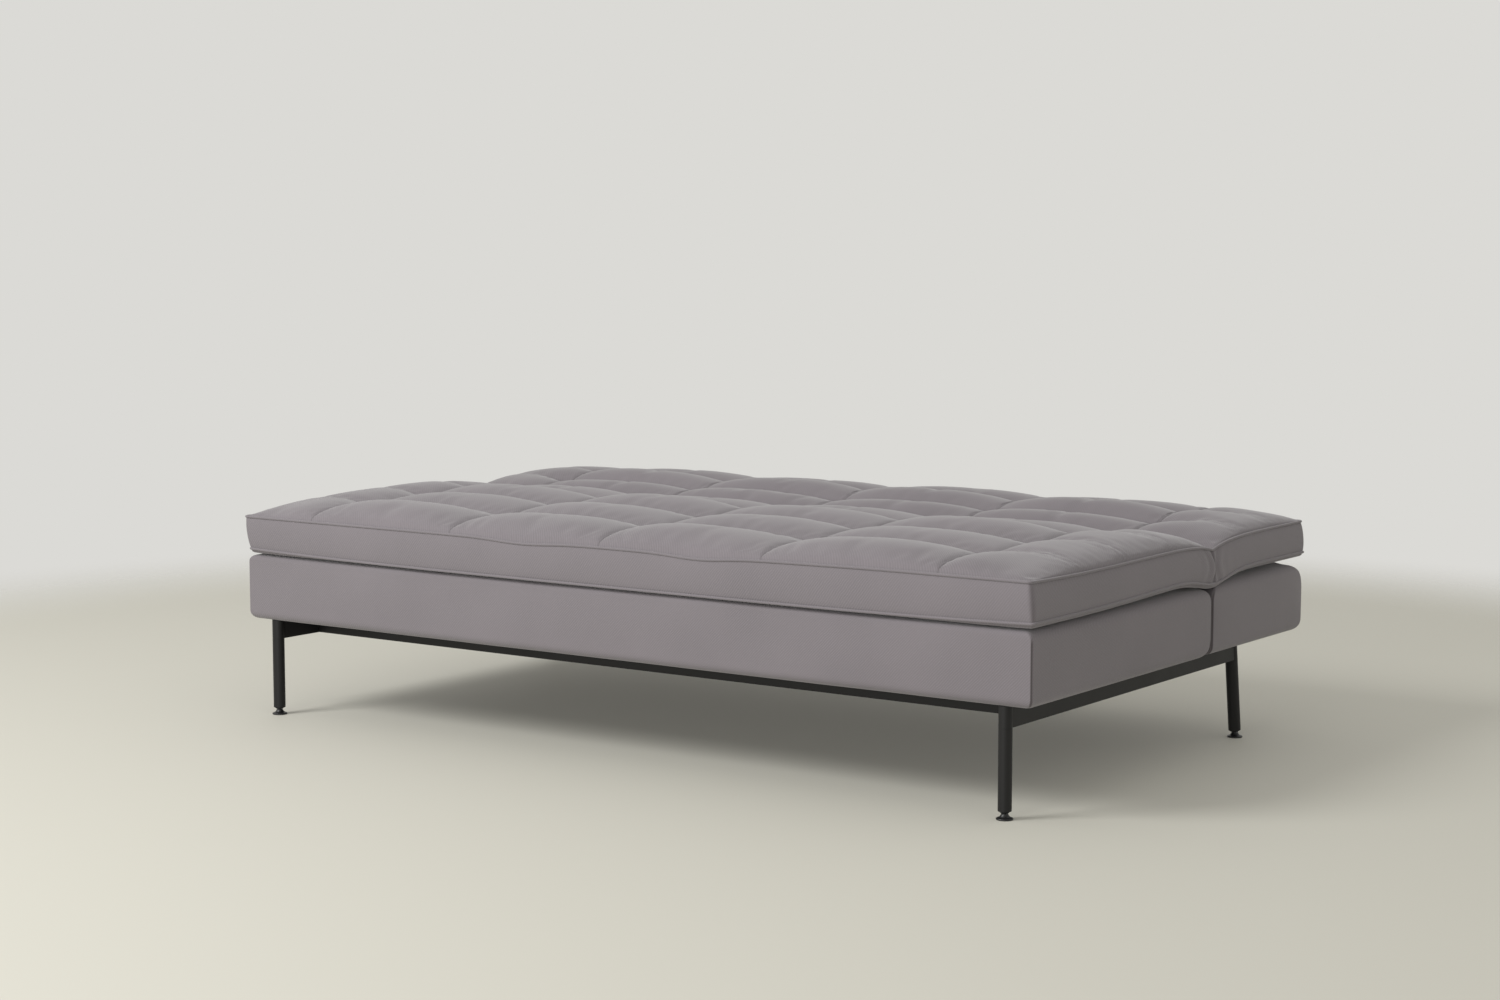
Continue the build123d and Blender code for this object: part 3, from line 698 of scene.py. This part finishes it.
def boxed_edge(high, low):
    """The band from the upper rim to the lower, and which way each place on it faces. At the
    share t of the way down it bulges by (1 - (2t - 1)^2)^0.7. At the joint it is tucked in by
    a bell and wrinkled by a sine under a wider bell, both leaning away from it mid-height."""
    ahead = np.roll(high, -1, 0) - np.roll(high, 1, 0)
    outward = np.stack([ahead[:, 1], -ahead[:, 0], 0 * ahead[:, 0]], -1)
    outward /= np.linalg.norm(outward, axis=1)[:, None]
    at_joint = high[:, 1] - JOINT
    down = np.linspace(0, 1, BAND_ROWS + 2)[1:-1, None]
    bulge = BULGE * (1 - (2 * down - 1) ** 2) ** 0.7 * np.ones(len(high))
    lean = at_joint + TUCK_LEAN * np.sin(np.pi * down) * np.sign(at_joint)
    bulge = bulge - TUCK * bump_at(lean, TUCK_WIDTH) * np.sin(np.pi * down)
    wrinkles = WRINKLE * np.sin(lean * 2 * np.pi / WRINKLE_PITCH)
    bulge = bulge + wrinkles * bump_at(lean, WRINKLE_REACH)
    return high + (low - high) * down[..., None] + bulge[..., None] * outward, outward


# Painted shade along the topper's seams and down the corners of its boxed edge.
TOPPER_SEAM_SHADE, TOPPER_SEAM_SHADE_WIDTH = 0.5, 0.0014
BAND_CORNER_SHADE, BAND_CORNER_SHADE_WIDTH = 0.8, 0.003
HOLD_AT_SEAM, HOLD_AT_EDGE, HOLD_AT_JOINT = 0.005, 0.012, 0.02
ROW_HOLD, ROW_HOLD_WIDTH = 0.4, 0.03


def sewing(x, y, from_edge, high, rows):
    """How much painted shade each point gets, and how firmly it is held while the cloth
    settles. Both are bells across the seams; the painted shade also runs down the boxed edge's
    corners. The rows are half held by a wider bell, and the piping, the joint, the underside
    and the boxed edge are held fast."""
    from_seam = nearest(x, SEAMS)
    painted_shade = TOPPER_SEAM_SHADE * bump_at(from_seam, TOPPER_SEAM_SHADE_WIDTH)
    from_corner = from_corners(high[:, 0], high[:, 1], TOP_ENDS, EDGES)
    corner_shade = BAND_CORNER_SHADE * bump_at(from_corner, BAND_CORNER_SHADE_WIDTH)
    corner_shade = corner_shade * np.ones((rows, len(high)))
    sewn = np.maximum(bump_at(from_seam, HOLD_AT_SEAM), smooth(1 - from_edge / HOLD_AT_EDGE))
    sewn = np.maximum(sewn, ROW_HOLD * bump_at(nearest(y, TUFT_ROWS), ROW_HOLD_WIDTH))
    sewn = np.where(np.abs(y - JOINT) < HOLD_AT_JOINT, 1, np.clip(sewn, 0, 1))
    painted_shade = np.concatenate([painted_shade.ravel(), np.zeros(x.size), corner_shade.ravel()])
    held = np.concatenate([sewn.ravel(), np.ones(x.size + corner_shade.size)])
    return painted_shade, held


FILL_PRESSURE = 4
CLOTH_SPARE = 0.02
SETTLE_FRAMES = 20
SETTLE_REACH = 0.006
HOLD_STEPS = 20


def settle(piece, held):
    """Lets the cloth fill out from inside between its seams: a short cloth simulation with a
    little spare cloth, in which held points stay. A move of d becomes d r / (r + d), so that
    no point goes further than the reach r."""
    mesh = piece.data
    pins = piece.vertex_groups.new(name="held")
    for step in range(1, HOLD_STEPS + 1):
        points = np.flatnonzero(np.round(held * HOLD_STEPS) == step)
        pins.add(points.tolist(), step / HOLD_STEPS, "REPLACE")
    cloth = piece.modifiers.new("settle", "CLOTH")
    cloth.settings.quality = 4
    cloth.settings.use_pressure = True
    cloth.settings.uniform_pressure_force = FILL_PRESSURE
    cloth.settings.shrink_min = -CLOTH_SPARE
    cloth.settings.vertex_group_mass = "held"
    cloth.settings.effector_weights.gravity = 0
    cloth.point_cache.frame_end = SETTLE_FRAMES
    stage = bpy.context.scene
    for step in range(1, SETTLE_FRAMES + 1):
        stage.frame_set(step)
    settled = piece.evaluated_get(bpy.context.evaluated_depsgraph_get())
    start, end = np.empty(3 * len(mesh.vertices)), np.empty(3 * len(mesh.vertices))
    mesh.vertices.foreach_get("co", start)
    settled.data.vertices.foreach_get("co", end)
    piece.modifiers.remove(cloth)
    piece.vertex_groups.remove(pins)
    stage.frame_set(1)
    start, moved = start.reshape(-1, 3), (end - start).reshape(-1, 3)
    far = np.linalg.norm(moved, axis=1)[:, None]
    moved *= SETTLE_REACH / (SETTLE_REACH + far)
    mesh.vertices.foreach_set("co", (start + moved).ravel())
    mesh.update()


flat_x, flat_y = np.meshgrid(spaced(PANEL_STOPS, PANEL_CELLS, 0.8),
                             spaced(ROW_STOPS, ROW_CELLS, 0.62), indexing="ij")
from_edge = from_edges(flat_x, flat_y, TOP_ENDS, EDGES)
plan_x, plan_y = round_corners(flat_x, flat_y, TOP_ENDS, EDGES, TOPPER_CORNER)
top = np.stack([plan_x, plan_y, top_height(flat_x, flat_y)], -1)
foot_share = (plan_x - TOP_ENDS[0]) / (TOP_ENDS[1] - TOP_ENDS[0])
foot_x = FOOT_ENDS[0] + (FOOT_ENDS[1] - FOOT_ENDS[0]) * foot_share
bottom = np.stack([foot_x, plan_y, foot_height(from_edge, foot_x, plan_y)], -1)
i, j = rim(*top.shape[:2])
upper_rim, lower_rim = top[i, j], bottom[i, j]
band, outward = boxed_edge(upper_rim, lower_rim)
painted_shade, held = sewing(flat_x, flat_y, from_edge, upper_rim, BAND_ROWS)
topper = make_piece("topper_mattress", *stuffed_form(top, bottom, band), painted_shade)
settle(topper, held)

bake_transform(topper)
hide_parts("topper_seat", "topper_back", "topper_fold")


# ---- piping ----
# A bias-cut strip of the same cloth sewn round a thin cord, let into the seam over and under
# the topper's boxed edge.
PIPING = 0.0027
PIPING_OUT = 0.4
PIPING_SIDES = 10


def piping(name, path, outward):
    """A closed tube: a circle carried round the path, square to it, in outward and up."""
    ahead = np.roll(path, -1, 0) - np.roll(path, 1, 0)
    ahead /= np.linalg.norm(ahead, axis=1)[:, None]
    up = np.cross(outward, ahead)
    up *= np.sign(up[:, 2:]) / np.linalg.norm(up, axis=1)[:, None]
    path = path + PIPING_OUT * PIPING * outward
    angle = np.linspace(0, 2 * np.pi, PIPING_SIDES + 1)[None, :, None]
    ring = np.cos(angle) * outward[:, None] + np.sin(angle) * up[:, None]
    points = (path[:, None] + PIPING * ring)[:, :-1]
    index = np.arange(points.shape[0] * points.shape[1]).reshape(points.shape[:2])
    index = np.hstack([index, index[:, :1]])
    index = np.vstack([index, index[:1]])
    along = np.append(0, np.cumsum(np.linalg.norm(np.roll(path, -1, 0) - path, axis=1)))
    round_it = angle[0, :, 0] * PIPING
    uv = np.stack(np.meshgrid(along, round_it, indexing="ij"), -1)
    piece = make_piece(name, points.reshape(-1, 3), [patch(index, uv)])
    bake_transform(piece)


piping("upper_piping", upper_rim, outward)
piping("lower_piping", lower_rim, outward)


# ---- stage ----
# A pale matt floor that fades into the even backdrop, a large soft light from the front left,
# a weaker one low down that reaches under the bed, and a pale even surround. The floor also
# glows faintly, which is painted light that lifts the shadow under the bed.
SURROUND = "#dbdad6"
SURROUND_LIGHT = 0.88
FLOOR_REACH = (2.3, 3.4)
FLOOR_SIDES = 96
backdrop = bpy.data.worlds.new("surround")
backdrop.use_nodes = True
surround = backdrop.node_tree.nodes["Background"].inputs
surround["Color"].default_value = linear(SURROUND)
seen = add(backdrop.node_tree, "ShaderNodeLightPath").outputs["Is Camera Ray"]
strength = add(backdrop.node_tree, "ShaderNodeMapRange", {
    "Value": seen, "To Min": SURROUND_LIGHT, "To Max": 1.0})
backdrop.node_tree.links.new(strength.outputs["Result"], surround["Strength"])
bpy.context.scene.world = backdrop

# The floor's emission is painted light: a faint glow that lifts the shadow under the bed.
glowing_floor_finish, tree, shader = start_material("pale_glowing_floor", {
    "Base Color": linear("#bcbab0"), "Roughness": 0.7, "Specular IOR Level": 0.3,
    "Emission Color": linear("#dad7cc"), "Emission Strength": 0.1})
glowing_floor_finish.surface_render_method = "BLENDED"
place = add(tree, "ShaderNodeTexCoord").outputs["Object"]
away = add(tree, "ShaderNodeVectorMath", {0: place}, operation="LENGTH")
fade = add(tree, "ShaderNodeMapRange", {
    "Value": away.outputs["Value"], "From Min": FLOOR_REACH[0], "From Max": FLOOR_REACH[1],
    "To Min": 1.0, "To Max": 0.0}, interpolation_type="SMOOTHSTEP")
tree.links.new(fade.outputs["Result"], shader.inputs["Alpha"])
turn = np.linspace(0, 2 * np.pi, FLOOR_SIDES + 1)[:-1]
disc = np.stack([np.cos(turn), np.sin(turn), 0 * turn], -1) * FLOOR_REACH[1]
floor_mesh = bpy.data.meshes.new("floor")
floor_mesh.from_pydata(disc.tolist(), [], [list(range(len(disc)))])
floor_mesh.materials.append(glowing_floor_finish)
floor = bpy.data.objects.new("floor", floor_mesh)
bpy.context.scene.collection.objects.link(floor)


def soft_light(name, place, target, size, power):
    """A round area light that looks from its place to a target."""
    lamp = bpy.data.lights.new(name, "AREA")
    lamp.shape = "DISK"
    lamp.size = size
    lamp.energy = power
    light = bpy.data.objects.new(name, lamp)
    light.location = place
    run = np.subtract(target, place)
    light.rotation_euler = (math.acos(-run[2] / np.linalg.norm(run)), 0,
                            math.atan2(run[1], run[0]) - math.pi / 2)
    bpy.context.scene.collection.objects.link(light)


soft_light("key", place=(-2.2, -4.3, 3.8), target=(0, 0, 0.3), size=2.4, power=225)
soft_light("low_fill", place=(0.8, -5.0, 1.2), target=(-0.2, 0.3, 0), size=2.0, power=48)
